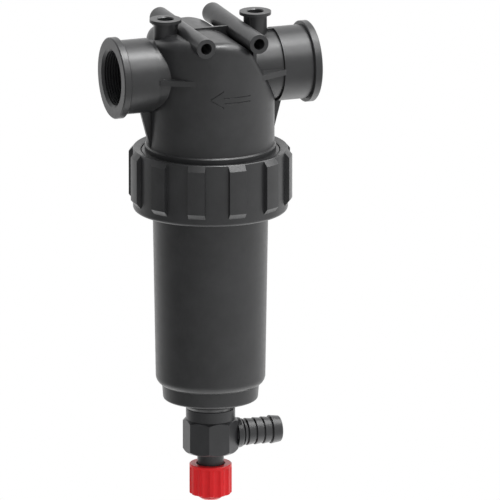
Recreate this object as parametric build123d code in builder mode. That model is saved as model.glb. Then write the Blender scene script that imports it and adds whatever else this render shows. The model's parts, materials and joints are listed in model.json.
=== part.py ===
from build123d import *
from math import asin, cos, pi, radians, sin, sqrt, tan
import os

# Self-cleaning in-line filter: a moulded head with two threaded ports, a bowl held by a ring nut,
# a screen cartridge with a flow cone inside it, and a flushing valve with a hose tail at the foot.
# Millimetres. The origin is midway between the two mounting sleeves, on the bowl's axis.
# +Z is up, +X points out of the inlet port, -Y is the front with the flow arrow.

os.makedirs("parts", exist_ok=True)

# Small sizes used all over the part
lap = 1.0
hair = 0.1
seal_gap = 0.01
edge_bevel = 0.6
fine_bevel = 0.3
thread_flank = 27.5

# Mounting sleeves
sleeve_spacing = 45.6
sleeve_front_r = 8.1
sleeve_back_r = 8.6
sleeve_front_y = -53.5
sleeve_back_y = 59.0
sleeve_hole_r = 4.6
sleeve_edge = 0.15
web_t = 3.0
web_front_y = 1.5
web_rise = 3.2
slope_web_t = 2.8
slope_web_half = 43.5

# Ports, a parallel pipe thread of 1 1/2 inch
port_drop = 31.7
port_half_length = 85.6
flange_r = 33.3
flange_t = 6.5
barrel_r = 30.3
barrel_inner_x = 54.0
neck_r = 28.3
port_minor_r = 22.42
port_thread_depth = 1.48
port_pitch = 2.309
port_thread_turns = 10
port_thread_gap = 16.0
port_thread_runout = 1.0
port_chamfer = 2.0
port_bore_r = 20.0
port_rim_bevel = 0.8

# Gauge bosses, a parallel pipe thread of 1/4 inch
gauge_x = 38.8
gauge_top_z = 14.1
gauge_flange_r = 13.0
gauge_flange_t = 2.6
gauge_boss_r = 9.6
gauge_minor_r = 5.72
gauge_thread_depth = 0.856
gauge_pitch = 1.337
gauge_thread_turns = 6
gauge_thread_runout = 0.6
gauge_mouth_r = 6.6
gauge_mouth_depth = 4.9
gauge_mouth_bevel = 0.7
gauge_gusset_r = 11.7
gauge_gusset_t = 1.0
gauge_gusset_angle = 45.0
gauge_bore_r = 3.5

# Head
head_wall_r = 52.2
head_wall_t = 5.9
head_margin = 10.0
head_rise = 2.0
head_edge_fillet = 8.0
shoulder_x = -36.0
shoulder_r = 18.0
head_foot_drop = 95.6
roof_t = 11.0
crown_x = -6.0
crown_r = 34.0
slope_angle = 57.0
slope_wall_t = 4.0
neck_start_x = 22.8
neck_end_wall_t = 3.2
collar_rise = 1.2
collar_step = 1.4
collar_drop = 3.0
skirt_length = 30.4
skirt_bevel = 1.5
elbow_bore_r = 20.5
elbow_wall_t = 4.0
spigot_flange_r = 33.0
spigot_flange_t = 4.0
spigot_seat_drop = 8.4
gasket_bore_r = 23.0
port_gusset_top = 2.5
port_gusset_t = 4.5
port_gusset_x = 28.4
port_gusset_rise = 0.8
foot_gusset_t = 3.5
foot_gusset_top_x = 60.5
foot_gusset_drop = 62.5
foot_gusset_root = 4.0
foot_gusset_step = 0.2

# Flow arrow, engraved
arrow_tip_x = -18.6
arrow_centre_drop = 44.4
arrow_head_length = 11.6
arrow_head_half = 7.4
arrow_shaft_drop = 1.0
arrow_shaft_end = 16.6
arrow_shaft_gap = 4.4
arrow_stroke = 0.9
arrow_depth = 0.8

# Ring nut
nut_clearance = 0.3
nut_wall_t = 6.4
nut_edge = 0.5
nut_rib_depth = 3.6
nut_rib_count = 12
nut_rib_width = 14.2
nut_top_gap = 1.1
nut_crown = -1.0
nut_rib_bevel = 4.8
nut_rib_end_gap = 6.3
nut_lip_t = 13.0
nut_lip_gap = 1.0
nut_foot_fillet = 3.0
slip_ring_t = 1.5
slip_ring_gap = 0.4

# Bowl
bowl_flange_t = 8.0
bowl_flange_w = 8.7
bowl_flange_step = 0.4
bowl_top_r = 47.4
bowl_foot_r = 44.8
bowl_wall_t = 4.3
bowl_length = 162.0
bowl_floor_t = 8.0
bowl_corner_r = 8.0
foot_top_r = 39.7
foot_bottom_r = 38.7
foot_height = 20.0
foot_corner_r = 2.0
foot_wall_t = 4.3
foot_pocket_depth = 10.0
foot_pocket_r = 24.5
foot_ribs = 8
foot_rib_t = 3.0
boss_r = 22.0
boss_height = 7.8
boss_tip_r = 20.3
boss_taper = 2.4
boss_groove_drop = 3.5
boss_groove_h = 1.2
boss_groove_depth = 0.8
well_r = 28.3
well_depth = 5.5
bowl_drain_r = 12.0
bowl_seal_section_r = 1.75
bowl_seal_inset = 5.6
bowl_seal_room = 0.5

# Cartridge
cartridge_clearance = 0.4
rest_gap = 0.05
gasket_t = 2.0
collar_r = 36.0
collar_t = 8.0
collar_lap = 8.0
cage_r = 34.0
cage_wall_t = 2.8
cage_columns = 8
cage_rows = 4
cage_bar = 4.0
cage_hoop = 5.0
screen_t = 0.9
bottom_opening_r = 22.0
cone_nose_r = 2.5
cone_base_r = 17.0
cone_top_gap = 2.0
cone_ring_t = 2.5
cone_ring_h = 9.0
cone_length = 16.0
cone_wall_t = 2.5
cone_fin_height = 9.0
cone_fin_t = 3.0
cone_fin_count = 3
cone_edge_t = 1.5

# Flushing valve body
drain_clearance = 0.05
drain_thread_r = 18.3
drain_thread_depth = 1.3
drain_pitch = 2.309
drain_neck_length = 17.4
drain_turns = 6
drain_groove_half = 0.9
drain_thread_start = 2.5
drain_gap = 0.3
drain_collar_r = 20.15
drain_collar_h = 9.4
drain_collar_bevel = 0.4
octagon_flats = 42.0
octagon_height = 27.5
octagon_bevel = 2.0
octagon_bevel_gap = 0.4
outlet_rise = 13.1
valve_chamber_r = 15.0
bonnet_r = 16.5
bonnet_t = 5.0
bonnet_groove_depth = 1.6
bonnet_clearance = 0.05
bonnet_slot_r = 1.5
bonnet_slot_t = 2.5
stem_r = 10.9
stem_length = 23.0
stem_bevel = 0.8
spindle_r = 4.0
spindle_clearance = 0.05
spindle_flat_x = 3.2

# Valve seat, plug and knob
seat_t = 5.0
seat_bore_r = 8.0
seat_drop = 0.6
seat_lip_t = 0.8
seat_lip_r = 9.6
seat_lip_bevel = 0.4
seat_clearance = 0.05
plug_seal_r = 11.2
plug_seal_t = 2.4
plug_r = 11.8
plug_t = 4.8
plug_socket_room = 0.1
plug_stud_r = 3.0
plug_stud_head_r = 4.5
plug_stud_head_t = 0.6
plug_socket_depth = 3.6
plug_socket_lip = 1.0
plug_socket_mouth_r = 5.4
spindle_collar_r = 6.5
spindle_collar_t = 2.0
spindle_seal_section_r = 0.75
spindle_seal_spacing = 7.0
spindle_seal_drop = 6.0
knob_drop = 10.4
knob_height = 25.2
knob_r = 17.3
knob_bore_r = 11.9
knob_top_bevel = 0.5
knob_rim_h = 2.4
knob_floor_t = 6.0
knob_corner_r = 1.0
knob_flutes = 12
knob_flute_r = 4.5
knob_flute_depth = 1.5
knob_flute_turn = -2.0
knob_cap_r = 9.5
knob_cap_clearance = 0.05
knob_cap_recess = 3.5
knob_cap_side = 6.6
knob_cap_drop = 10.2
knob_cap_t = 1.5
knob_cap_step = 0.3
screw_r = 1.6
screw_length = 10.0
screw_head_r = 5.0
screw_head_t = 2.2
screw_slot_w = 1.0

# Hose tail
tail_clearance = 0.05
tail_spigot_x = 16.8
tail_spigot_r = 9.4
tail_seal_section_r = 0.9
tail_collar_r = 12.5
tail_collar_t = 5.4
tail_collar_round = 1.0
tail_bore_r = 6.8
tail_neck_r = 9.5
tail_neck_w = 1.2
tail_barb_foot_r = 10.5
tail_barb_r = 11.2
tail_barb_last_r = 11.7
tail_barb_edge = 0.2
tail_groove_inset = 1.1
tail_barb_start = 3.9
tail_barb_pitch = 7.0
tail_barb_count = 4
tail_end_length = 8.0
tail_end_r = 10.7
tail_end_bevel = 0.5

# Heights worked out from the sizes above
port_z = -port_drop
head_foot_z = -head_foot_drop
skirt_top_z = head_foot_z - collar_drop
skirt_bottom_z = head_foot_z - skirt_length
spigot_seat_z = head_foot_z - spigot_seat_drop
flange_bottom_z = skirt_bottom_z - bowl_flange_t
nut_seat_z = flange_bottom_z - slip_ring_t
nut_bottom_z = nut_seat_z - nut_lip_t
nut_top_z = head_foot_z - nut_top_gap
bowl_corner_z = skirt_bottom_z - bowl_length
foot_bottom_z = bowl_corner_z - foot_height
foot_top_z = bowl_corner_z - sqrt(bowl_corner_r**2 - (foot_top_r - bowl_foot_r + bowl_corner_r) ** 2)
bowl_floor_z = bowl_corner_z - bowl_corner_r + bowl_floor_t
well_z = bowl_floor_z - well_depth
boss_bottom_z = foot_bottom_z - boss_height
drain_collar_z = boss_bottom_z - drain_gap
drain_neck_z = drain_collar_z + drain_neck_length
drain_seal_z = drain_neck_z + gasket_t
octagon_top_z = drain_collar_z - drain_collar_h
octagon_bottom_z = octagon_top_z - octagon_height
bonnet_top_z = octagon_bottom_z + bonnet_t
outlet_z = octagon_bottom_z + outlet_rise
stem_bottom_z = octagon_bottom_z - stem_length
seat_top_z = octagon_top_z - seat_drop
seat_bottom_z = seat_top_z - seat_t
plug_seal_z = seat_bottom_z - seat_lip_t - rest_gap
plug_top_z = plug_seal_z - plug_seal_t
plug_bottom_z = plug_top_z - plug_t
knob_top_z = octagon_bottom_z - knob_drop
knob_bottom_z = knob_top_z - knob_height
knob_recess_z = knob_bottom_z + knob_cap_recess
knob_floor_z = knob_recess_z + knob_floor_t
collar_top_z = spigot_seat_z - gasket_t - rest_gap
cage_top_z = collar_top_z - collar_t
lower_seal_z = well_z + gasket_t
collar_bottom_z = lower_seal_z + rest_gap
cage_bottom_z = bowl_floor_z + rest_gap + collar_t

# Radii worked out from the sizes above
chamber_r = head_wall_r - head_wall_t
elbow_r = elbow_bore_r + elbow_wall_t
bowl_flange_r = bowl_top_r + bowl_flange_w
bowl_seal_r = bowl_flange_r - bowl_seal_inset
skirt_r = bowl_flange_r + bowl_flange_step
nut_bore_r = skirt_r + nut_clearance
nut_base_r = nut_bore_r + nut_wall_t
nut_rib_r = nut_base_r + nut_rib_depth
nut_lip_r = bowl_top_r + nut_lip_gap
screen_r = cage_r - cage_wall_t
octagon_r = octagon_flats / 2 / cos(pi / 8)
spindle_hole_r = spindle_r + spindle_clearance
reach = head_wall_r + head_margin

port_axis = Axis((0, 0, port_z), (1, 0, 0))
tail_axis = Axis((0, 0, outlet_z), (1, 0, 0))


def outline_xz(*points):
    """A closed outline in the XZ plane."""
    with BuildSketch(Plane.XZ, mode=Mode.PRIVATE) as outline:
        with BuildLine():
            Polyline(*points, close=True)
        make_face()
    return outline.sketch


def turned(*points, mode=Mode.ADD):
    """Turn an outline of (radius, height) points about the bowl's axis."""
    revolve(outline_xz(*points), axis=Axis.Z, mode=mode)


def turned_level(axis, *points, arc=360.0, mode=Mode.ADD):
    """Turn an outline of (x, radius) points about a level axis along X."""
    level = axis.position.Z
    revolve(outline_xz(*[(x, level + r) for x, r in points]), axis=axis, revolution_arc=arc, mode=mode)


def tube(outer_r, inner_r, bottom_z, top_z, mode=Mode.ADD):
    """A plain tube between two heights, or a solid cylinder where the inner radius is 0."""
    turned((inner_r, bottom_z), (outer_r, bottom_z), (outer_r, top_z), (inner_r, top_z), mode=mode)


def round_ring(centre_r, section_r, z):
    """A round seal ring about the bowl's axis."""
    with BuildSketch(Plane.XZ, mode=Mode.PRIVATE) as section:
        with Locations((centre_r, z)):
            Circle(section_r)
    revolve(section.sketch, axis=Axis.Z)


def dome_middle(base_r, rise, base_z):
    """The point halfway along the arc of a shallow dome that bulges downward."""
    radius = (base_r**2 + rise**2) / (2 * rise)
    half = asin(base_r / radius) / 2
    return (radius * sin(half), base_z - rise + radius * (1 - cos(half)))


def head_side(top_z, inset, rounded):
    """The head's side view: flat with a round shoulder over the outlet, sloping down over the inlet."""
    turn = radians(slope_angle)
    radius = crown_r - inset
    centre_z = head_rise - crown_r
    slope_x = crown_x + radius * sin(turn)
    slope_z = centre_z + radius * cos(turn)
    low_z = slope_z - (reach - slope_x) * tan(turn)
    with BuildSketch(Plane.XZ, mode=Mode.PRIVATE) as outline:
        with BuildLine():
            if rounded:
                RadiusArc((crown_x, top_z), (slope_x, slope_z), radius)
                Polyline((slope_x, slope_z), (reach, low_z), (reach, skirt_bottom_z),
                         (-reach, skirt_bottom_z), (-reach, top_z - shoulder_r),
                         (shoulder_x - shoulder_r, top_z - shoulder_r))
                RadiusArc((shoulder_x - shoulder_r, top_z - shoulder_r), (shoulder_x, top_z), shoulder_r)
                Line((shoulder_x, top_z), (crown_x, top_z))
            else:
                top_x = slope_x - (top_z - slope_z) / tan(turn)
                Polyline((top_x, top_z), (reach, low_z), (reach, skirt_bottom_z),
                         (-reach, skirt_bottom_z), (-reach, top_z), close=True)
        make_face()
    return outline.sketch


def v_grooves(count, pitch, start, minor_r, depth, step):
    """Outlines of evenly spaced V grooves as (along, radius) points."""
    half = depth * tan(radians(thread_flank))
    centres = [start + step * i * pitch for i in range(count)]
    return [[(c - half, minor_r), (c, minor_r + depth), (c + half, minor_r)] for c in centres]


# The water chamber inside the head
with BuildPart() as head_chamber:
    extrude(head_side(head_rise - roof_t, slope_wall_t, False), amount=reach, both=True)
    tube(chamber_r, 0, skirt_bottom_z, head_rise, mode=Mode.INTERSECT)

# The inlet's elbow inside the chamber, with the flange that the cartridge seals against
with BuildPart() as elbow_tube:
    turned_level(port_axis, (0, 0), (0, elbow_r), (reach, elbow_r), (reach, 0))
    with Locations((0, 0, port_z)):
        Sphere(elbow_r)
    tube(elbow_r, 0, spigot_seat_z, port_z)
    spigot_cone_z = spigot_seat_z + spigot_flange_t + spigot_flange_r - elbow_r
    turned((0, spigot_seat_z), (spigot_flange_r, spigot_seat_z),
           (spigot_flange_r, spigot_seat_z + spigot_flange_t), (elbow_r, spigot_cone_z), (0, spigot_cone_z))
    add(head_chamber.part, mode=Mode.INTERSECT)

# The elbow's own passage
with BuildPart() as elbow_passage:
    turned_level(port_axis, (0, 0), (0, elbow_bore_r), (reach, elbow_bore_r), (reach, 0))
    with Locations((0, 0, port_z)):
        Sphere(elbow_bore_r)
    tube(elbow_bore_r, 0, skirt_bottom_z, port_z)
    add(head_chamber.part, mode=Mode.INTERSECT)

# The engraved strokes of the flow arrow
with BuildPart() as arrow_strokes:
    barb_x = arrow_tip_x + arrow_head_length
    with BuildSketch(Plane.XZ):
        for side in (1, -1):
            shaft_z = -arrow_centre_drop - arrow_shaft_drop + side * arrow_shaft_gap / 2
            with Locations(((barb_x + arrow_shaft_end) / 2, shaft_z)):
                Rectangle(arrow_shaft_end - barb_x, arrow_stroke)
        for side in (1, -1):
            with BuildLine():
                Polyline((arrow_tip_x, -arrow_centre_drop),
                         (arrow_tip_x + arrow_stroke * 1.6, -arrow_centre_drop),
                         (barb_x, -arrow_centre_drop + side * (arrow_head_half - arrow_stroke)),
                         (barb_x, -arrow_centre_drop + side * arrow_head_half), close=True)
            make_face()
    extrude(amount=reach)
    tube(reach, head_wall_r - arrow_depth, skirt_bottom_z, head_rise, mode=Mode.INTERSECT)

# Head
with BuildPart() as filter_head:
    # Wall, bead and threaded skirt, cut to the head's side view
    bead_z = head_foot_z + collar_rise
    turned((0, head_rise), (head_wall_r, head_rise), (head_wall_r, bead_z + lap),
           (head_wall_r + collar_step, bead_z), (head_wall_r + collar_step, skirt_top_z),
           (skirt_r - edge_bevel, skirt_top_z), (skirt_r, skirt_top_z - edge_bevel),
           (skirt_r, skirt_bottom_z + skirt_bevel), (skirt_r - skirt_bevel, skirt_bottom_z),
           (0, skirt_bottom_z))
    extrude(head_side(head_rise, 0, True), amount=reach, both=True, mode=Mode.INTERSECT)
    rims = [e for e in filter_head.edges().filter_by(GeomType.LINE, reverse=True)
            if e.center().Z > bead_z + 2 * lap]
    fillet(rims, radius=head_edge_fillet)
    # Ports, gauge bosses and gussets on both sides
    for side in (1, -1):
        neck_x = neck_start_x if side > 0 else 0
        flange_x = port_half_length - flange_t
        turned_level(port_axis, (side * neck_x, 0), (side * neck_x, neck_r), (side * barrel_inner_x, neck_r),
                     (side * barrel_inner_x, barrel_r), (side * flange_x, barrel_r),
                     (side * flange_x, flange_r - edge_bevel), (side * (flange_x + edge_bevel), flange_r),
                     (side * (port_half_length - port_rim_bevel), flange_r),
                     (side * port_half_length, flange_r - port_rim_bevel), (side * port_half_length, 0))
        gusset_y = sqrt(head_wall_r**2 - port_gusset_x**2)
        for face in (1, -1):
            with BuildSketch(Plane.XY.offset(port_z + port_gusset_top - port_gusset_t)):
                with BuildLine():
                    Polyline((0, 0), (side * (barrel_inner_x + lap / 2), 0),
                             (side * (barrel_inner_x + lap / 2), face * (barrel_r + port_gusset_rise)),
                             (side * port_gusset_x, face * gusset_y), close=True)
                make_face()
            extrude(amount=port_gusset_t)
        gusset_root_z = port_z - neck_r + foot_gusset_root
        gusset_x = side * (chamber_r + lap)
        extrude(outline_xz((gusset_x, gusset_root_z), (side * foot_gusset_top_x, gusset_root_z),
                           (side * foot_gusset_top_x, -foot_gusset_drop),
                           (side * (head_wall_r + foot_gusset_step), bead_z + lap), (gusset_x, bead_z + lap)),
                amount=foot_gusset_t / 2, both=True)
        with Locations((side * gauge_x, 0, gauge_top_z)):
            Cylinder(gauge_boss_r, gauge_top_z - port_z, align=(Align.CENTER, Align.CENTER, Align.MAX))
            Cylinder(gauge_flange_r, gauge_flange_t, align=(Align.CENTER, Align.CENTER, Align.MAX))
        # Small gusset under the gauge flange, toward the front and the middle
        turn = radians(gauge_gusset_angle)
        gusset_plane = Plane((side * gauge_x, 0, 0), x_dir=(-side * cos(turn), -sin(turn), 0),
                             z_dir=(-sin(turn), side * cos(turn), 0))
        with BuildSketch(gusset_plane):
            with BuildLine():
                Polyline((gauge_boss_r - lap, head_rise - lap), (gauge_boss_r, head_rise),
                         (gauge_gusset_r, gauge_top_z - gauge_flange_t + hair),
                         (gauge_boss_r - lap, gauge_top_z - gauge_flange_t + hair), close=True)
            make_face()
        extrude(amount=gauge_gusset_t / 2, both=True)
        # Mounting sleeve, slightly thicker toward the back
        sleeve_x = side * sleeve_spacing / 2
        with BuildSketch(Plane.XY):
            with BuildLine():
                Polyline((sleeve_x, sleeve_front_y),
                         (sleeve_x + sleeve_front_r - sleeve_edge, sleeve_front_y),
                         (sleeve_x + sleeve_front_r, sleeve_front_y + sleeve_edge),
                         (sleeve_x + sleeve_front_r, web_front_y),
                         (sleeve_x + sleeve_back_r, sleeve_back_y), (sleeve_x, sleeve_back_y), close=True)
            make_face()
        revolve(axis=Axis((sleeve_x, 0, 0), (0, 1, 0)))
    # Web between the sleeves
    with Locations((0, web_front_y + web_t / 2, web_rise)):
        Box(sleeve_spacing, web_t, web_rise + crown_r / 2, align=(Align.CENTER, Align.CENTER, Align.MAX))
    # Web from the inlet side's sleeve down to the slope
    with Locations((sleeve_spacing / 2, 0, 0)):
        Box(slope_web_t, 2 * slope_web_half, neck_r, align=(Align.CENTER, Align.CENTER, Align.MAX))
    # Rib on top of the inlet's neck, level with the barrel
    with Locations((gauge_x, 0, port_z + barrel_r)):
        Box(barrel_inner_x - gauge_x + lap / 2, web_t, neck_r,
            align=(Align.MIN, Align.CENTER, Align.MAX))
    # Hollow out the chamber, then put the elbow back inside it
    add(head_chamber.part, mode=Mode.SUBTRACT)
    add(elbow_tube.part)
    add(elbow_passage.part, mode=Mode.SUBTRACT)
    for side in (1, -1):
        inner_x = neck_start_x + neck_end_wall_t if side > 0 else chamber_r - 2 * lap
        thread_x = port_half_length - port_chamfer
        thread_end_x = thread_x - port_thread_turns * port_pitch - port_thread_runout
        turned_level(port_axis, (side * inner_x, 0), (side * inner_x, port_bore_r),
                     (side * thread_end_x, port_bore_r), (side * thread_end_x, port_minor_r),
                     (side * thread_x, port_minor_r), (side * port_half_length, port_minor_r + port_chamfer),
                     (side * (port_half_length + lap), port_minor_r + port_chamfer),
                     (side * (port_half_length + lap), 0), mode=Mode.SUBTRACT)
        for groove in v_grooves(port_thread_turns, port_pitch, side * (thread_x - port_pitch / 2),
                                port_minor_r, port_thread_depth, -side):
            turned_level(port_axis, *groove, arc=360 - port_thread_gap, mode=Mode.SUBTRACT)
        gauge_axis = Axis((side * gauge_x, 0, 0), (0, 0, 1))
        gauge_thread_z = gauge_top_z - gauge_mouth_depth
        gauge_stop_z = gauge_thread_z - gauge_thread_turns * gauge_pitch - gauge_thread_runout
        x = side * gauge_x
        revolve(outline_xz((x, port_z), (x + gauge_bore_r, port_z), (x + gauge_bore_r, gauge_stop_z),
                           (x + gauge_minor_r, gauge_stop_z), (x + gauge_minor_r, gauge_thread_z),
                           (x + gauge_mouth_r, gauge_thread_z + gauge_mouth_r - gauge_minor_r),
                           (x + gauge_mouth_r, gauge_top_z - gauge_mouth_bevel),
                           (x + gauge_mouth_r + gauge_mouth_bevel, gauge_top_z), (x, gauge_top_z)),
                axis=gauge_axis, mode=Mode.SUBTRACT)
        for groove in v_grooves(gauge_thread_turns, gauge_pitch, gauge_thread_z - gauge_pitch / 2,
                                gauge_minor_r, gauge_thread_depth, -1):
            revolve(outline_xz(*[(x + r, z) for z, r in groove]), axis=gauge_axis, mode=Mode.SUBTRACT)
        with Locations(Location((side * sleeve_spacing / 2, 0, 0), (90, 0, 0))):
            Cylinder(sleeve_hole_r, 4 * head_wall_r, mode=Mode.SUBTRACT)
    add(arrow_strokes.part, mode=Mode.SUBTRACT)

# Ring nut
with BuildPart() as nut_ribs:
    for k in range(nut_rib_count):
        with Locations(Location((0, 0, 0), (0, 0, 360 / nut_rib_count * k))):
            with Locations((0, 2 * lap - nut_base_r, nut_bottom_z)):
                Box(nut_rib_width, nut_rib_depth + 3 * lap, nut_top_z - nut_bottom_z,
                    align=(Align.CENTER, Align.MAX, Align.MIN))
    rib_top_z = nut_top_z - nut_edge
    rib_foot_z = nut_bottom_z + nut_rib_end_gap
    turned((nut_base_r - lap, rib_top_z), (nut_base_r, rib_top_z), (nut_rib_r, nut_top_z - nut_rib_bevel),
           (nut_rib_r, rib_foot_z + nut_rib_bevel), (nut_base_r - fine_bevel, rib_foot_z),
           (nut_base_r - lap, rib_foot_z), mode=Mode.INTERSECT)

with BuildPart() as ring_nut:
    turned((nut_lip_r, nut_bottom_z + lap), (nut_lip_r + lap, nut_bottom_z),
           (nut_base_r, nut_bottom_z), (nut_base_r, nut_top_z - nut_edge),
           (nut_base_r - nut_edge, nut_top_z), (nut_bore_r + lap, nut_top_z + nut_crown),
           (nut_bore_r, nut_top_z + nut_crown - edge_bevel), (nut_bore_r, nut_seat_z),
           (nut_lip_r, nut_seat_z))
    foot_edge = ring_nut.edges().filter_by(GeomType.CIRCLE).filter_by_position(
        Axis.Z, nut_bottom_z - 0.01, nut_bottom_z + 0.01).sort_by(SortBy.RADIUS)[-1]
    fillet(foot_edge, radius=nut_foot_fillet)
    add(nut_ribs.part)

with BuildPart() as nut_slip_ring:
    tube(nut_bore_r - slip_ring_gap, nut_lip_r + slip_ring_gap, nut_seat_z + rest_gap, flange_bottom_z)

# Bowl with its stepped foot and threaded boss
bowl_seal_groove_w = 2 * bowl_seal_section_r + bowl_seal_room
bowl_seal_groove_d = 2 * (bowl_seal_section_r + seal_gap)
drain_bore_r = drain_thread_r + drain_clearance
boss_groove_z = foot_bottom_z - boss_groove_drop + boss_groove_h / 2
with BuildPart() as filter_bowl:
    with BuildSketch(Plane.XZ):
        with BuildLine():
            RadiusArc((bowl_foot_r, bowl_corner_z), (foot_top_r, foot_top_z), bowl_corner_r)
            Polyline((foot_top_r, foot_top_z), (foot_bottom_r, foot_bottom_z), (boss_r, foot_bottom_z),
                     (boss_r, boss_groove_z), (boss_r - boss_groove_depth, boss_groove_z - boss_groove_h / 4),
                     (boss_r - boss_groove_depth, boss_groove_z - boss_groove_h * 3 / 4),
                     (boss_r, boss_groove_z - boss_groove_h), (boss_r, boss_bottom_z + boss_taper),
                     (boss_tip_r, boss_bottom_z), (drain_bore_r, boss_bottom_z),
                     (drain_bore_r, drain_seal_z),
                     (bowl_drain_r, drain_seal_z), (bowl_drain_r, well_z), (well_r, well_z),
                     (well_r, bowl_floor_z), (bowl_foot_r - bowl_wall_t, bowl_floor_z),
                     (bowl_top_r - bowl_wall_t, flange_bottom_z), (bowl_top_r - bowl_wall_t, skirt_bottom_z),
                     (bowl_flange_r, skirt_bottom_z), (bowl_flange_r, flange_bottom_z),
                     (bowl_top_r, flange_bottom_z), (bowl_foot_r, bowl_corner_z))
        make_face()
    revolve(axis=Axis.Z)
    foot_edge = filter_bowl.edges().filter_by(GeomType.CIRCLE).filter_by_position(
        Axis.Z, foot_bottom_z - 0.01, foot_bottom_z + 0.01).sort_by(SortBy.RADIUS)[-1]
    fillet(foot_edge, radius=foot_corner_r)
    # Groove for the seal against the head
    tube(bowl_seal_r + bowl_seal_groove_w / 2, bowl_seal_r - bowl_seal_groove_w / 2,
         skirt_bottom_z - bowl_seal_groove_d, skirt_bottom_z + lap, mode=Mode.SUBTRACT)
    # Pockets under the foot, with ribs between them
    tube(foot_bottom_r - foot_wall_t, foot_pocket_r, foot_bottom_z - lap / 2,
         foot_bottom_z + foot_pocket_depth, mode=Mode.SUBTRACT)
    for k in range(foot_ribs):
        with Locations(Location((0, 0, 0), (0, 0, 360 / foot_ribs * (k + 0.5)))):
            with Locations((foot_pocket_r - lap / 2, 0, foot_bottom_z + lap)):
                Box(foot_bottom_r - foot_wall_t - foot_pocket_r + lap, foot_rib_t,
                    foot_pocket_depth - lap / 2, align=(Align.MIN, Align.CENTER, Align.MIN))

with BuildPart() as bowl_o_ring:
    round_ring(bowl_seal_r, bowl_seal_section_r, skirt_bottom_z - seal_gap - bowl_seal_section_r)

# Cartridge: gaskets, collars, cage, screen and flow cone
with BuildPart() as upper_gasket:
    tube(spigot_flange_r - lap / 2, gasket_bore_r, collar_top_z, collar_top_z + gasket_t)

with BuildPart() as cartridge_top_collar:
    turned((gasket_bore_r, cage_top_z), (cage_r + rest_gap, cage_top_z),
           (cage_r + rest_gap, cage_top_z - collar_lap), (collar_r, cage_top_z - collar_lap),
           (collar_r, collar_top_z - lap), (collar_r - lap, collar_top_z), (gasket_bore_r, collar_top_z))

with BuildPart() as cartridge_bottom_collar:
    turned((bottom_opening_r, collar_bottom_z), (well_r - cartridge_clearance, collar_bottom_z),
           (well_r - cartridge_clearance, bowl_floor_z + rest_gap), (collar_r, bowl_floor_z + rest_gap),
           (collar_r, cage_bottom_z + collar_lap), (cage_r + rest_gap, cage_bottom_z + collar_lap),
           (cage_r + rest_gap, cage_bottom_z), (bottom_opening_r, cage_bottom_z))

with BuildPart() as lower_gasket:
    tube(well_r - cartridge_clearance, bottom_opening_r, well_z, lower_seal_z)

window_h = (cage_top_z - cage_bottom_z - 2 * collar_lap - (cage_rows + 1) * cage_hoop) / cage_rows
window_w = 2 * pi * cage_r / cage_columns - cage_bar
with BuildPart() as cartridge_cage:
    tube(cage_r, screen_r, cage_bottom_z, cage_top_z)
    with BuildPart(mode=Mode.PRIVATE) as window_row:
        for k in range(cage_columns):
            with Locations(Location((0, 0, 0), (0, 0, 360 / cage_columns * k))):
                with Locations((cage_r, 0, 0)):
                    Box(cage_r, window_w, window_h)
    for row in range(cage_rows):
        row_z = cage_bottom_z + collar_lap + cage_hoop + window_h / 2 + row * (window_h + cage_hoop)
        add(Pos(0, 0, row_z) * window_row.part, mode=Mode.SUBTRACT)

with BuildPart() as screen_mesh:
    tube(screen_r - rest_gap, screen_r - rest_gap - screen_t, cage_bottom_z, cage_top_z)

cone_ring_r = screen_r - screen_t - 2 * rest_gap
cone_ring_z = cage_top_z - cone_ring_h
cone_base_z = cone_ring_z - cone_fin_height - cone_length
with BuildPart() as flow_cone:
    tube(cone_ring_r, cone_ring_r - cone_ring_t, cone_ring_z, cage_top_z - rest_gap)
    for k in range(cone_fin_count):
        with Locations(Location((0, 0, 0), (0, 0, 360 / cone_fin_count * (k + 0.5)))):
            with Locations((0, 0, cone_ring_z - cone_fin_height)):
                Box(cone_ring_r - lap / 2, cone_fin_t, cone_fin_height + cone_ring_h - 2 * lap,
                    align=(Align.MIN, Align.CENTER, Align.MIN))
    turned((0, cone_base_z + cone_wall_t), (cone_base_r - cone_wall_t, cone_base_z),
           (cone_base_r, cone_base_z), (cone_base_r, cone_base_z + cone_edge_t),
           (cone_nose_r, cage_top_z - cone_top_gap), (0, cage_top_z - cone_top_gap + lap))

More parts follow.
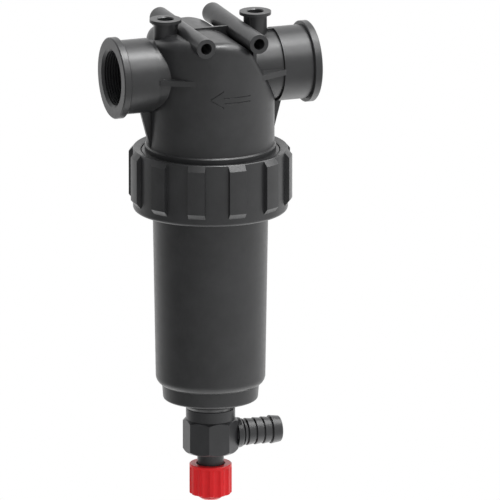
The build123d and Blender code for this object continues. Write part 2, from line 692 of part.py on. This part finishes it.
# Flushing valve body
drain_root_r = drain_thread_r - drain_thread_depth
with BuildPart() as drain_body:
    tube(drain_thread_r, 0, drain_collar_z, drain_neck_z - lap)
    tube(drain_root_r, 0, drain_collar_z, drain_neck_z)
    turned((0, octagon_top_z), (drain_collar_r, octagon_top_z),
           (drain_collar_r, drain_collar_z - drain_collar_bevel),
           (drain_collar_r - drain_collar_bevel, drain_collar_z), (0, drain_collar_z))
    with BuildSketch(Plane.XY.offset(octagon_bottom_z)):
        RegularPolygon(octagon_flats / 2, 8, major_radius=False, rotation=22.5)
    extrude(amount=octagon_height)
    # Cone bevels on the octagon's corners
    bevel_r = drain_collar_r + octagon_bevel_gap
    turned((bevel_r, octagon_top_z), (octagon_r + lap, octagon_top_z),
           (octagon_r + lap, octagon_top_z - octagon_bevel), (octagon_r, octagon_top_z - octagon_bevel),
           mode=Mode.SUBTRACT)
    turned((bevel_r, octagon_bottom_z), (octagon_r, octagon_bottom_z + octagon_bevel),
           (octagon_r + lap, octagon_bottom_z + octagon_bevel), (octagon_r + lap, octagon_bottom_z),
           mode=Mode.SUBTRACT)
    # Thread on the neck
    for k in range(drain_turns):
        z = drain_neck_z - drain_thread_start - k * drain_pitch
        turned((drain_thread_r + hair, z + drain_groove_half), (drain_root_r, z),
               (drain_thread_r + hair, z - drain_groove_half), mode=Mode.SUBTRACT)
    # Bore, valve chamber, bonnet recess and side outlet
    tube(bowl_drain_r, 0, seat_top_z, drain_neck_z, mode=Mode.SUBTRACT)
    tube(valve_chamber_r, 0, bonnet_top_z, seat_top_z, mode=Mode.SUBTRACT)
    tube(bonnet_r + bonnet_clearance, 0, octagon_bottom_z, bonnet_top_z, mode=Mode.SUBTRACT)
    turned_level(tail_axis, (0, 0), (0, tail_bore_r), (tail_spigot_x, tail_bore_r),
                 (tail_spigot_x, tail_spigot_r + tail_clearance),
                 (octagon_flats / 2 + lap, tail_spigot_r + tail_clearance), (octagon_flats / 2 + lap, 0),
                 mode=Mode.SUBTRACT)

with BuildPart() as drain_gasket:
    tube(drain_root_r, bowl_drain_r, drain_neck_z, drain_seal_z)

with BuildPart() as valve_seat:
    turned((seat_bore_r, seat_bottom_z - seat_lip_t),
           (seat_lip_r - seat_lip_bevel, seat_bottom_z - seat_lip_t),
           (seat_lip_r, seat_bottom_z), (valve_chamber_r - seat_clearance, seat_bottom_z),
           (valve_chamber_r - seat_clearance, seat_top_z), (seat_bore_r + lap, seat_top_z),
           (seat_bore_r, seat_top_z - lap))

# Hose tail
tail_x = octagon_flats / 2
tail_collar_end = tail_x + tail_collar_t
tail_groove_x = tail_spigot_x + tail_groove_inset
tail_groove_end = tail_groove_x + 2 * (tail_seal_section_r + hair)
tail_groove_r = tail_spigot_r + tail_clearance - 2 * tail_seal_section_r - seal_gap
ridges = []
for k in range(tail_barb_count):
    ridge_x = tail_collar_end + tail_barb_start + k * tail_barb_pitch
    ridge_r = tail_barb_r if k < tail_barb_count - 1 else tail_barb_last_r
    ridges += [(ridge_x - tail_neck_w, tail_barb_foot_r), (ridge_x - tail_neck_w * 0.9, tail_neck_r),
               (ridge_x - tail_neck_w * 0.1, tail_neck_r), (ridge_x, ridge_r - tail_barb_edge),
               (ridge_x + tail_barb_edge, ridge_r)]
tail_end_x = ridges[-1][0] + tail_end_length
with BuildPart() as hose_tail:
    turned_level(tail_axis, (tail_spigot_x + rest_gap, tail_bore_r),
                 (tail_spigot_x + rest_gap, tail_spigot_r),
                 (tail_groove_x, tail_spigot_r), (tail_groove_x, tail_groove_r),
                 (tail_groove_end, tail_groove_r),
                 (tail_groove_end, tail_spigot_r), (tail_x, tail_spigot_r), (tail_x, tail_collar_r),
                 (tail_collar_end - 2 * tail_collar_round, tail_collar_r),
                 (tail_collar_end - tail_collar_round, tail_collar_r - 0.3 * tail_collar_round),
                 (tail_collar_end - 0.3 * tail_collar_round, tail_collar_r - tail_collar_round),
                 (tail_collar_end, tail_neck_r), (tail_collar_end + 0.5 * tail_neck_w, tail_neck_r),
                 (tail_collar_end + 0.6 * tail_neck_w, tail_barb_r),
                 *ridges, (tail_end_x - tail_end_bevel, tail_end_r),
                 (tail_end_x, tail_end_r - tail_end_bevel), (tail_end_x, tail_bore_r))

with BuildPart() as hose_tail_o_ring:
    with BuildSketch(Plane.XZ):
        with Locations(((tail_groove_x + tail_groove_end) / 2,
                        outlet_z + tail_groove_r + tail_seal_section_r)):
            Circle(tail_seal_section_r)
    revolve(axis=tail_axis)

# Bonnet with its stem
bonnet_groove_z = octagon_bottom_z + bonnet_t / 2
bonnet_groove_r = bonnet_r - bonnet_groove_depth
bonnet_seal_r = (bonnet_r + bonnet_clearance - bonnet_groove_r - seal_gap) / 2
with BuildPart() as valve_bonnet:
    turned((spindle_hole_r, octagon_bottom_z), (stem_r, octagon_bottom_z),
           (stem_r, stem_bottom_z + stem_bevel), (stem_r - stem_bevel, stem_bottom_z),
           (spindle_hole_r, stem_bottom_z))
    tube(bonnet_r, spindle_hole_r, octagon_bottom_z, bonnet_top_z)
    tube(bonnet_r + lap, bonnet_groove_r, bonnet_groove_z - bonnet_seal_r - hair,
         bonnet_groove_z + bonnet_seal_r + hair, mode=Mode.SUBTRACT)
    # Two slots for a pin wrench
    for side in (1, -1):
        with Locations((0, side * (stem_r + bonnet_r) / 2, octagon_bottom_z)):
            Cylinder(bonnet_slot_r, bonnet_slot_t, align=(Align.CENTER, Align.CENTER, Align.MIN),
                     mode=Mode.SUBTRACT)

with BuildPart() as bonnet_o_ring:
    round_ring(bonnet_groove_r + bonnet_seal_r, bonnet_seal_r, bonnet_groove_z)

# Plug with its rubber disc
with BuildPart() as valve_plug:
    socket_r = spindle_collar_r + plug_socket_room
    socket_top_z = plug_bottom_z + plug_socket_depth
    socket_lip_z = plug_bottom_z + plug_socket_lip
    stud_top_z = plug_seal_z + plug_stud_head_t
    turned((0, socket_top_z), (socket_r, socket_top_z), (socket_r, socket_lip_z),
           (plug_socket_mouth_r, socket_lip_z), (plug_socket_mouth_r, plug_bottom_z),
           (plug_r - edge_bevel, plug_bottom_z), (plug_r, plug_bottom_z + edge_bevel), (plug_r, plug_top_z),
           (plug_stud_r, plug_top_z), (plug_stud_r, plug_seal_z), (plug_stud_head_r, plug_seal_z),
           (plug_stud_head_r - fine_bevel, stud_top_z), (0, stud_top_z))

with BuildPart() as plug_seal:
    tube(plug_seal_r, plug_stud_r, plug_top_z, plug_seal_z)

# Spindle with two seal rings, a collar held in the plug and a flatted foot held in the knob
collar_z = plug_bottom_z + plug_socket_lip + (plug_socket_depth - plug_socket_lip - spindle_collar_t) / 2
spindle_groove_r = spindle_hole_r - 2 * spindle_seal_section_r - seal_gap
spindle_seal_z = [octagon_bottom_z - spindle_seal_drop - i * spindle_seal_spacing for i in range(2)]
with BuildPart() as spindle:
    tube(spindle_r, 0, knob_recess_z, collar_z)
    tube(spindle_collar_r, 0, collar_z, collar_z + spindle_collar_t)
    for z in spindle_seal_z:
        tube(spindle_r + lap, spindle_groove_r, z - spindle_seal_section_r - hair,
             z + spindle_seal_section_r + hair, mode=Mode.SUBTRACT)
    # Two flats at the foot
    for side in (1, -1):
        with Locations((side * spindle_flat_x, 0, knob_recess_z)):
            Box(spindle_r, 4 * spindle_r, knob_floor_t + lap,
                align=(Align.MIN if side > 0 else Align.MAX, Align.CENTER, Align.MIN), mode=Mode.SUBTRACT)
    tube(screw_r, 0, knob_recess_z, knob_recess_z + screw_length + lap, mode=Mode.SUBTRACT)

with BuildPart() as spindle_o_ring_upper:
    round_ring(spindle_groove_r + spindle_seal_section_r, spindle_seal_section_r, spindle_seal_z[0])

with BuildPart() as spindle_o_ring_lower:
    round_ring(spindle_groove_r + spindle_seal_section_r, spindle_seal_section_r, spindle_seal_z[1])

# Knob with scalloped flutes
with BuildPart() as knob:
    turned((knob_bore_r, knob_top_z), (knob_r - knob_top_bevel, knob_top_z),
           (knob_r, knob_top_z - knob_top_bevel), (knob_r, knob_bottom_z),
           (knob_cap_r + knob_cap_clearance, knob_bottom_z), (knob_cap_r + knob_cap_clearance, knob_recess_z),
           (0, knob_recess_z), (0, knob_floor_z), (knob_bore_r, knob_floor_z))
    rim = knob.edges().filter_by(GeomType.CIRCLE).filter_by_position(
        Axis.Z, knob_bottom_z - 0.01, knob_bottom_z + 0.01).sort_by(SortBy.RADIUS)[-1]
    fillet(rim, radius=knob_corner_r)
    with BuildPart(mode=Mode.PRIVATE) as flute:
        centre_r = knob_r + knob_flute_r - knob_flute_depth
        with Locations((0, -centre_r, knob_top_z - knob_rim_h)):
            Cylinder(knob_flute_r, knob_height, align=(Align.CENTER, Align.CENTER, Align.MAX))
    for k in range(knob_flutes):
        add(Rot(0, 0, knob_flute_turn + 360 / knob_flutes * k) * flute.part, mode=Mode.SUBTRACT)
    # Flatted hole for the spindle's foot
    with BuildSketch(Plane.XY.offset(knob_recess_z - lap / 2)):
        Circle(spindle_r + spindle_clearance)
        Rectangle(2 * (spindle_flat_x + spindle_clearance), 4 * spindle_r, mode=Mode.INTERSECT)
    extrude(amount=knob_floor_t + lap, mode=Mode.SUBTRACT)

with BuildPart() as knob_screw:
    tube(screw_r, 0, knob_recess_z - rest_gap, knob_recess_z + screw_length)
    tube(screw_head_r, 0, knob_recess_z - screw_head_t, knob_recess_z - rest_gap)
    with Locations((0, 0, knob_recess_z - screw_head_t)):
        Box(2 * screw_head_r, screw_slot_w, screw_slot_w, align=(Align.CENTER, Align.CENTER, Align.MIN),
            mode=Mode.SUBTRACT)

cap_top_z = knob_recess_z - rest_gap
cap_side_z = cap_top_z - knob_cap_side
cap_rise = knob_cap_drop - knob_cap_side
cap_inner_r = knob_cap_r - knob_cap_t
cap_inner_z = cap_side_z + knob_cap_step
cap_inner_rise = cap_rise - knob_cap_t + knob_cap_step
with BuildPart() as knob_cap:
    with BuildSketch(Plane.XZ):
        with BuildLine():
            ThreePointArc((0, cap_side_z - cap_rise), dome_middle(knob_cap_r, cap_rise, cap_side_z),
                          (knob_cap_r, cap_side_z))
            Polyline((knob_cap_r, cap_side_z), (knob_cap_r, cap_top_z), (cap_inner_r, cap_top_z),
                     (cap_inner_r, cap_inner_z))
            ThreePointArc((cap_inner_r, cap_inner_z), dome_middle(cap_inner_r, cap_inner_rise, cap_inner_z),
                          (0, cap_inner_z - cap_inner_rise))
            Line((0, cap_inner_z - cap_inner_rise), (0, cap_side_z - cap_rise))
        make_face()
    revolve(axis=Axis.Z)

filter_head.part.label = "filter_head"
export_step(filter_head.part, "parts/filter_head.step")
ring_nut.part.label = "ring_nut"
export_step(ring_nut.part, "parts/ring_nut.step")
nut_slip_ring.part.label = "nut_slip_ring"
export_step(nut_slip_ring.part, "parts/nut_slip_ring.step")
filter_bowl.part.label = "filter_bowl"
export_step(filter_bowl.part, "parts/filter_bowl.step")
bowl_o_ring.part.label = "bowl_o_ring"
export_step(bowl_o_ring.part, "parts/bowl_o_ring.step")
upper_gasket.part.label = "upper_gasket"
export_step(upper_gasket.part, "parts/upper_gasket.step")
cartridge_top_collar.part.label = "cartridge_top_collar"
export_step(cartridge_top_collar.part, "parts/cartridge_top_collar.step")
cartridge_cage.part.label = "cartridge_cage"
export_step(cartridge_cage.part, "parts/cartridge_cage.step")
screen_mesh.part.label = "screen_mesh"
export_step(screen_mesh.part, "parts/screen_mesh.step")
cartridge_bottom_collar.part.label = "cartridge_bottom_collar"
export_step(cartridge_bottom_collar.part, "parts/cartridge_bottom_collar.step")
lower_gasket.part.label = "lower_gasket"
export_step(lower_gasket.part, "parts/lower_gasket.step")
flow_cone.part.label = "flow_cone"
export_step(flow_cone.part, "parts/flow_cone.step")
drain_body.part.label = "drain_body"
export_step(drain_body.part, "parts/drain_body.step")
drain_gasket.part.label = "drain_gasket"
export_step(drain_gasket.part, "parts/drain_gasket.step")
valve_seat.part.label = "valve_seat"
export_step(valve_seat.part, "parts/valve_seat.step")
hose_tail.part.label = "hose_tail"
export_step(hose_tail.part, "parts/hose_tail.step")
hose_tail_o_ring.part.label = "hose_tail_o_ring"
export_step(hose_tail_o_ring.part, "parts/hose_tail_o_ring.step")
valve_bonnet.part.label = "valve_bonnet"
export_step(valve_bonnet.part, "parts/valve_bonnet.step")
bonnet_o_ring.part.label = "bonnet_o_ring"
export_step(bonnet_o_ring.part, "parts/bonnet_o_ring.step")
valve_plug.part.label = "valve_plug"
export_step(valve_plug.part, "parts/valve_plug.step")
plug_seal.part.label = "plug_seal"
export_step(plug_seal.part, "parts/plug_seal.step")
spindle.part.label = "spindle"
export_step(spindle.part, "parts/spindle.step")
spindle_o_ring_upper.part.label = "spindle_o_ring_upper"
export_step(spindle_o_ring_upper.part, "parts/spindle_o_ring_upper.step")
spindle_o_ring_lower.part.label = "spindle_o_ring_lower"
export_step(spindle_o_ring_lower.part, "parts/spindle_o_ring_lower.step")
knob.part.label = "knob"
export_step(knob.part, "parts/knob.step")
knob_screw.part.label = "knob_screw"
export_step(knob_screw.part, "parts/knob_screw.step")
knob_cap.part.label = "knob_cap"
export_step(knob_cap.part, "parts/knob_cap.step")
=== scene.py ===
import json
from math import pi, radians

import bpy
from mathutils import Euler, Matrix, Vector

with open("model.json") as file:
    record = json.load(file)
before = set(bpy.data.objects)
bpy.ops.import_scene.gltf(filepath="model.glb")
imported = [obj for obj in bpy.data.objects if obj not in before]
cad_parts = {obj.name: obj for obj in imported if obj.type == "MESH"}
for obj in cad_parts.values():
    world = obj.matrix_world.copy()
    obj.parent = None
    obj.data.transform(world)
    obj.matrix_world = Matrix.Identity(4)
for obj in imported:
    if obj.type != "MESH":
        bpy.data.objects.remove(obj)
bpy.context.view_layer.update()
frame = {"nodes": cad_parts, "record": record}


# Node helpers

def node(tree, kind, **values):
    """Add a shader node and set its named inputs."""
    new = tree.nodes.new(kind)
    for name, value in values.items():
        new.inputs[name.replace("_", " ")].default_value = value
    return new


def operate(tree, kind, operation, sources):
    """Add a maths node that works on sockets and plain values."""
    new = tree.nodes.new(kind)
    new.operation = operation
    for socket, source in zip(new.inputs, sources):
        if isinstance(source, bpy.types.NodeSocket):
            tree.links.new(source, socket)
        else:
            socket.default_value = source
    return new.outputs


def number(tree, operation, *sources):
    """The result of a maths node."""
    return operate(tree, "ShaderNodeMath", operation, sources)["Value"]


def vector(tree, operation, *sources, output="Vector"):
    """The result of a vector maths node."""
    return operate(tree, "ShaderNodeVectorMath", operation, sources)[output]


def object_noise(tree, coords, scale, detail=3.0, roughness=0.5):
    """Noise fixed to the object's own coordinates."""
    noise = node(tree, "ShaderNodeTexNoise", Scale=scale, Detail=detail, Roughness=roughness)
    tree.links.new(coords.outputs["Object"], noise.inputs["Vector"])
    return noise.outputs["Fac"]


NOISE_LOW, NOISE_HIGH = 0.3, 0.7


def vary(tree, noise, middle, spread, socket):
    """Feed a socket with a value that noise varies about a middle."""
    span = node(tree, "ShaderNodeMapRange", From_Min=NOISE_LOW, From_Max=NOISE_HIGH,
                To_Min=middle - spread, To_Max=middle + spread)
    tree.links.new(noise, span.inputs["Value"])
    tree.links.new(span.outputs["Result"], socket)


def two_tone(tree, factor, dark, light, socket, low=0.0, high=1.0):
    """Feed a socket with a colour between two tones."""
    ramp = node(tree, "ShaderNodeValToRGB")
    for element, position, colour in zip(ramp.color_ramp.elements, (low, high), (dark, light)):
        element.position = position
        element.color = (*colour, 1)
    tree.links.new(factor, ramp.inputs["Fac"])
    tree.links.new(ramp.outputs["Color"], socket)


def relief(tree, height, strength, depth, below=None):
    """Raise a surface by a height value, on top of the normal below it."""
    bump = node(tree, "ShaderNodeBump", Strength=strength, Distance=depth)
    tree.links.new(height, bump.inputs["Height"])
    if below:
        tree.links.new(below, bump.inputs["Normal"])
    return bump.outputs["Normal"]


def new_material(name):
    """A material, with its tree, its shader and its object coordinates."""
    material = bpy.data.materials.new(name)
    material.use_nodes = True
    tree = material.node_tree
    return material, tree, tree.nodes["Principled BSDF"], tree.nodes.new("ShaderNodeTexCoord")


# Material makers. Depths, radii and pitches are in metres.

EDGE_RADIUS = 0.0002
EDGE_SAMPLES = 4
MOTTLE_SCALE = 55.0
SHEEN_SCALE = 240.0
WAVE_SCALE = 38.0
WAVE_STRENGTH = 0.35
WAVE_DEPTH = 0.0004
GRAIN_SCALE = 900.0
GRAIN_STRENGTH = 0.5
GRAIN_DEPTH = 0.00003
MOULDED_SPREAD = 0.035
PLASTIC_IOR = 1.5

RING_SCALE = (60.0, 60.0, 2500.0)
RING_STRENGTH = 0.3
RING_DEPTH = 0.00002
RING_SHADE = 0.82
METAL_SPREAD = 0.06

MESH_PITCH = 0.0025
MESH_RADIUS = frame["nodes"]["screen_mesh"].dimensions.x / 2
# Near-black colour painted into the screen's holes: painted shade standing in for the dark inside
# seen through them.
MESH_HOLE_PAINTED_SHADE = (0.02, 0.02, 0.02)
WIRE_EDGE = 0.45
WIRE_STRENGTH = 0.8
WIRE_DEPTH = 0.0002


def moulded(name, tones, rough, specular=0.5):
    """Moulded plastic or rubber: mottled tone, slow waviness, fine grain and softened edges."""
    material, tree, shader, coords = new_material(name)
    mottle = object_noise(tree, coords, MOTTLE_SCALE, detail=5.0, roughness=0.6)
    two_tone(tree, mottle, *tones, shader.inputs["Base Color"], low=0.35, high=0.65)
    sheen = object_noise(tree, coords, SHEEN_SCALE, detail=4.0, roughness=0.6)
    vary(tree, sheen, rough, MOULDED_SPREAD, shader.inputs["Roughness"])
    edges = node(tree, "ShaderNodeBevel", Radius=EDGE_RADIUS)
    edges.samples = EDGE_SAMPLES
    waves = object_noise(tree, coords, WAVE_SCALE, detail=2.0, roughness=0.4)
    wavy = relief(tree, waves, WAVE_STRENGTH, WAVE_DEPTH, below=edges.outputs["Normal"])
    grain = object_noise(tree, coords, GRAIN_SCALE, roughness=0.55)
    grainy = relief(tree, grain, GRAIN_STRENGTH, GRAIN_DEPTH, below=wavy)
    tree.links.new(grainy, shader.inputs["Normal"])
    shader.inputs["IOR"].default_value = PLASTIC_IOR
    shader.inputs["Specular IOR Level"].default_value = specular
    return material


def bare_metal(name, rough):
    """Metal without its colour: roughness in fine rings along the bowl's axis."""
    material, tree, shader, coords = new_material(name)
    stretch = node(tree, "ShaderNodeMapping", Scale=RING_SCALE)
    tree.links.new(coords.outputs["Object"], stretch.inputs["Vector"])
    noise = node(tree, "ShaderNodeTexNoise", Scale=1.0, Detail=3.0)
    tree.links.new(stretch.outputs["Vector"], noise.inputs["Vector"])
    rings = noise.outputs["Fac"]
    vary(tree, rings, rough, METAL_SPREAD, shader.inputs["Roughness"])
    shader.inputs["Metallic"].default_value = 1.0
    return material, tree, shader, coords, rings


def turned(name, colour, rough):
    """Turned metal: fine rings of tone as well."""
    material, tree, shader, _, rings = bare_metal(name, rough)
    dark = [RING_SHADE * c for c in colour]
    two_tone(tree, rings, dark, colour, shader.inputs["Base Color"], low=0.3, high=0.7)
    tree.links.new(relief(tree, rings, RING_STRENGTH, RING_DEPTH), shader.inputs["Normal"])
    return material


def woven(name, colour, rough):
    """Woven wire: crossing waves around and along the screen's tube, with painted shade (near-black)
    in its holes.
    """
    material, tree, shader, coords, _ = bare_metal(name, rough)
    place = tree.nodes.new("ShaderNodeSeparateXYZ")
    tree.links.new(coords.outputs["Object"], place.inputs["Vector"])
    angle = number(tree, "ARCTAN2", place.outputs["Y"], place.outputs["X"])
    wires_around = round(2 * pi * MESH_RADIUS / MESH_PITCH)
    waves = [number(tree, "COSINE", number(tree, "MULTIPLY", source, turns))
             for source, turns in ((angle, wires_around), (place.outputs["Z"], 2 * pi / MESH_PITCH))]
    wires = number(tree, "MAXIMUM", *waves)
    # The holes between the wires get the painted shade colour, the wires their steel colour.
    two_tone(tree, wires, MESH_HOLE_PAINTED_SHADE, colour, shader.inputs["Base Color"], high=WIRE_EDGE)
    tree.links.new(relief(tree, wires, WIRE_STRENGTH, WIRE_DEPTH), shader.inputs["Normal"])
    return material


# Looks of the pieces

BLACK = ((0.021, 0.0215, 0.0225), (0.028, 0.0285, 0.030))
GREY = ((0.026, 0.0265, 0.028), (0.034, 0.0345, 0.037))
CAGE = ((0.05, 0.055, 0.06), (0.07, 0.075, 0.08))
WHITE = ((0.62, 0.62, 0.59), (0.72, 0.72, 0.69))
RUBBER = ((0.012, 0.012, 0.012), (0.02, 0.02, 0.02))
RED = ((0.72, 0.008, 0.012), (0.80, 0.012, 0.017))
CAP_RED = ((0.60, 0.05, 0.06), (0.66, 0.07, 0.08))
SCREEN_STEEL = (0.55, 0.56, 0.57)
SCREW_STEEL = (0.60, 0.60, 0.60)
BRASS = (0.72, 0.56, 0.26)

looks = {
    "black_moulding": moulded("black_moulding", BLACK, rough=0.36),
    "grey_moulding": moulded("grey_moulding", GREY, rough=0.33),
    "cage_plastic": moulded("cage_plastic", CAGE, rough=0.45),
    "white_plastic": moulded("white_plastic", WHITE, rough=0.45),
    "seal_rubber": moulded("seal_rubber", RUBBER, rough=0.6, specular=0.3),
    "red_knob": moulded("red_knob", RED, rough=0.32, specular=0.3),
    "red_cap": moulded("red_cap", CAP_RED, rough=0.35),
    "steel_mesh": woven("steel_mesh", SCREEN_STEEL, rough=0.35),
    "steel_screw": turned("steel_screw", SCREW_STEEL, rough=0.3),
    "turned_brass": turned("turned_brass", BRASS, rough=0.28),
}
slots = {entry["node"]: entry["material_slot"] for entry in frame["record"]["subparts"]}
for name, obj in frame["nodes"].items():
    obj.data.materials.clear()
    obj.data.materials.append(looks[slots[name]])


# White surround, floor and lights. Places are in metres, and the ports' axis is at the origin.

PAPER_WHITE = (1, 1, 1, 1)
LEVEL_ONLY = (1, 1, 0)
AMBIENT = 0.70
SWING = 0.46
BRIGHT_SIDE = (0.985, -0.174, 0.0)
BACK_LIFT = 0.5
BACK_SIDE = (-0.174, 0.985, 0.0)

FLOOR_Z = -0.86
FLOOR_HALF = 30.0
FLOOR_DARK = (0.80, 0.80, 0.80)
FLOOR_LIGHT = (0.84, 0.84, 0.84)
FLOOR_MOTTLE_SCALE = 3.0
FLOOR_ROUGH = 0.9
# Painted pool of light in the floor's glow: full gain inside the inner radius, fading to none at the
# outer.
LIGHT_POOL_INNER = 0.4
LIGHT_POOL_OUTER = 1.0
LIGHT_POOL_GAIN = 1.2


def surround(tree, direction):
    """Brightness of the surround: full on the bright side and behind, dim on the other side."""
    level_way = vector(tree, "NORMALIZE", vector(tree, "MULTIPLY", direction, LEVEL_ONLY))
    sideways, backwards = [vector(tree, "DOT_PRODUCT", level_way, side, output="Value")
                           for side in (BRIGHT_SIDE, BACK_SIDE)]
    level = number(tree, "MULTIPLY_ADD", sideways, SWING, AMBIENT)
    behind = number(tree, "POWER", number(tree, "MAXIMUM", backwards, 0.0), 2.0)
    return number(tree, "MULTIPLY_ADD", behind, BACK_LIFT, level)


def ray_switch(tree, ray, otherwise, for_ray):
    """Use one shader for a kind of ray and another for the rest."""
    path = tree.nodes.new("ShaderNodeLightPath")
    mix = tree.nodes.new("ShaderNodeMixShader")
    tree.links.new(path.outputs[ray], mix.inputs["Fac"])
    tree.links.new(otherwise.outputs[0], mix.inputs[1])
    tree.links.new(for_ray.outputs[0], mix.inputs[2])
    return mix


world = bpy.data.worlds.new("studio")
bpy.context.scene.world = world
world.use_nodes = True
sky = world.node_tree
ambient = sky.nodes["Background"]
sky_coords = sky.nodes.new("ShaderNodeTexCoord")
ambient.inputs["Color"].default_value = PAPER_WHITE
sky.links.new(surround(sky, sky_coords.outputs["Generated"]), ambient.inputs["Strength"])
backdrop = node(sky, "ShaderNodeBackground", Color=PAPER_WHITE, Strength=1.0)
seen_sky = ray_switch(sky, "Is Camera Ray", ambient, backdrop)
sky.links.new(seen_sky.outputs[0], sky.nodes["World Output"].inputs["Surface"])


def floor_paint():
    """Pale floor, plain white to the camera; to glossy rays it glows as painted light, as bright as
    the surround plus a painted pool of light about its middle.
    """
    material, tree, diffuse, coords = new_material("floor_paint")
    diffuse.inputs["Roughness"].default_value = FLOOR_ROUGH
    mottle = object_noise(tree, coords, FLOOR_MOTTLE_SCALE)
    two_tone(tree, mottle, FLOOR_DARK, FLOOR_LIGHT, diffuse.inputs["Base Color"])
    level_place = vector(tree, "MULTIPLY", coords.outputs["Object"], LEVEL_ONLY)
    painted_pool = node(tree, "ShaderNodeMapRange", From_Min=LIGHT_POOL_INNER, From_Max=LIGHT_POOL_OUTER,
                To_Min=LIGHT_POOL_GAIN, To_Max=0.0)
    painted_pool.interpolation_type = "SMOOTHSTEP"
    tree.links.new(vector(tree, "LENGTH", level_place, output="Value"), painted_pool.inputs["Value"])
    # Painted glow seen in reflections: the surround's level, brighter on one side, plus the painted
    # pool of light.
    glow_brightness = number(tree, "ADD", surround(tree, coords.outputs["Object"]), painted_pool.outputs["Result"])
    painted_glow = node(tree, "ShaderNodeEmission", Color=PAPER_WHITE)
    tree.links.new(glow_brightness, painted_glow.inputs["Strength"])
    seen = node(tree, "ShaderNodeEmission", Color=PAPER_WHITE, Strength=1.0)
    surface = ray_switch(tree, "Is Glossy Ray", diffuse, painted_glow)
    surface = ray_switch(tree, "Is Camera Ray", surface, seen)
    tree.links.new(surface.outputs[0], tree.nodes["Material Output"].inputs["Surface"])
    return material


floor_mesh = bpy.data.meshes.new("floor")
floor_corners = [(x * FLOOR_HALF, y * FLOOR_HALF, FLOOR_Z)
                 for x, y in ((-1, -1), (1, -1), (1, 1), (-1, 1))]
floor_mesh.from_pydata(floor_corners, [], [(0, 1, 2, 3)])
floor = bpy.data.objects.new("floor", floor_mesh)
bpy.context.collection.objects.link(floor)
floor.data.materials.append(floor_paint())


def soft_box(name, place, target, size, radiance, diffuse=True, glossy=True):
    """A rectangular studio light that looks at a point."""
    data = bpy.data.lights.new(name, "AREA")
    data.shape = "RECTANGLE"
    data.size, data.size_y = size
    data.energy = radiance * pi * data.size * data.size_y
    lamp = bpy.data.objects.new(name, data)
    lamp.location = place
    lamp.rotation_euler = (Vector(target) - Vector(place)).to_track_quat("-Z", "Y").to_euler()
    lamp.visible_diffuse = diffuse
    lamp.visible_glossy = glossy
    bpy.context.collection.objects.link(lamp)


soft_box("top_gloss", place=(0.9, -0.1, 1.25), target=(0.2, 0, 0), size=(1.2, 1.2),
         radiance=4.5, diffuse=False)
soft_box("crown_gloss", place=(0.18, -0.32, 1.25), target=(0, 0, 0), size=(0.4, 0.4),
         radiance=26.0, diffuse=False)
soft_box("top_fill", place=(0, -0.15, 1.25), target=(0, 0, 0), size=(1.2, 1.2),
         radiance=2.0, glossy=False)
soft_box("side_gloss", place=(0.56, -0.98, 1.08), target=(0, 0, -0.16), size=(0.6, 0.6),
         radiance=5.0, diffuse=False)


# Camera: a long lens, in line with the photograph's slight perspective

AZIMUTH = radians(-20.0)
ELEVATION = radians(14.8)
DISTANCE = 18.0
FRAME_WIDTH = 0.4065
SENSOR_WIDTH = 36.0
CLIP_END = 100.0
TARGET = Vector((0.01475, -0.05365, -0.1717))

camera_data = bpy.data.cameras.new("camera")
camera_data.sensor_width = SENSOR_WIDTH
camera_data.lens = SENSOR_WIDTH * DISTANCE / FRAME_WIDTH
camera_data.clip_end = CLIP_END
camera = bpy.data.objects.new("camera", camera_data)
turn = Euler((pi / 2 - ELEVATION, 0.0, AZIMUTH)).to_matrix().to_4x4()
camera.matrix_world = Matrix.Translation(TARGET) @ turn @ Matrix.Translation((0, 0, DISTANCE))
bpy.context.collection.objects.link(camera)
bpy.context.scene.camera = camera
bpy.context.scene.view_settings.view_transform = "Standard"
